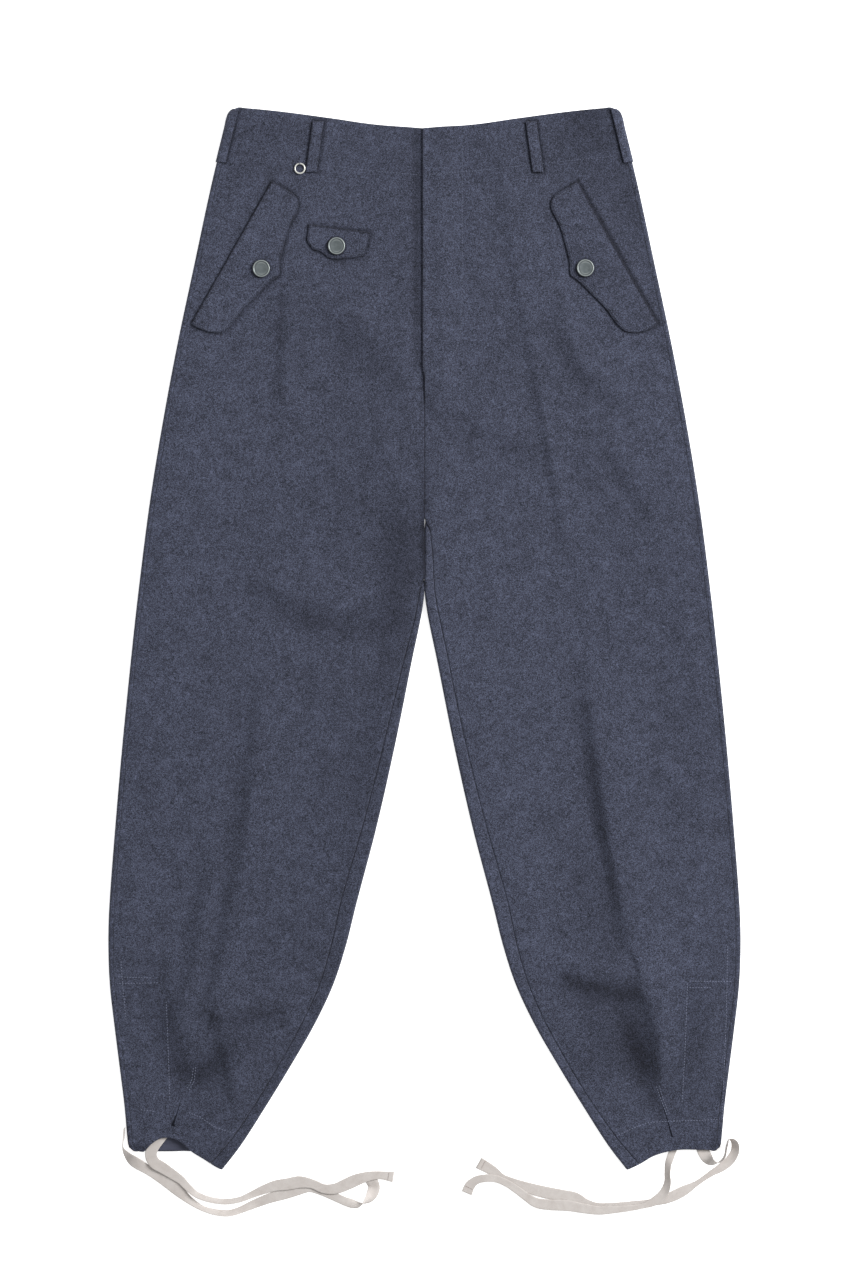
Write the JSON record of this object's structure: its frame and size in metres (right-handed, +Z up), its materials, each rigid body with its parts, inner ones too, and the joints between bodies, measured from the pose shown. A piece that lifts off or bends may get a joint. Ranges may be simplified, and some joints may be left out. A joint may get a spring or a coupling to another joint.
{
  "type": "military trousers",
  "caption": "Wool service trousers laid flat, with slanting button flaps, a watch flap, belt loops, a watch ring and drawstring ankles.",
  "frame": {"origin": "centre of the footprint of the garment without its tapes, on the surface it lies on", "axes": "+X to the wearer's left, +Y from the hems to the waist, +Z up out of the front of the trousers"},
  "size_m": [0.664, 1.1659, 0.0145],
  "materials": {
    "wool": "matte",
    "facing": "matte",
    "tape": "matte",
    "button_metal": "satin",
    "ring_metal": "polished",
    "thread": "matte"
  },
  "bodies": {
    "garment": {"left_front": "wool", "left_back": "wool", "left_pocket_flap": "wool", "left_front_loop": "wool", "left_side_loop": "wool", "right_front": "wool", "right_back": "wool", "right_pocket_flap": "wool", "right_front_loop": "wool", "right_side_loop": "wool", "watch_pocket_flap": "wool", "right_cuff_facing": "facing", "left_flap_button": "button_metal", "right_flap_button": "button_metal", "watch_flap_button": "button_metal", "ring_tack": "thread", "right_outer_tape": "tape", "right_inner_tape": "tape", "left_inner_tape": "tape", "left_outer_tape": "tape"},
    "watch_ring": {"watch_ring": "ring_metal"}
  },
  "joints": [
    {"name": "ring_swing", "type": "hinge", "parent": "garment", "child": "watch_ring", "pos_m": [-0.1307, 0.4979, 0.0089], "axis": [-1, 0, 0], "range_deg": [0, 170]}
  ]
}
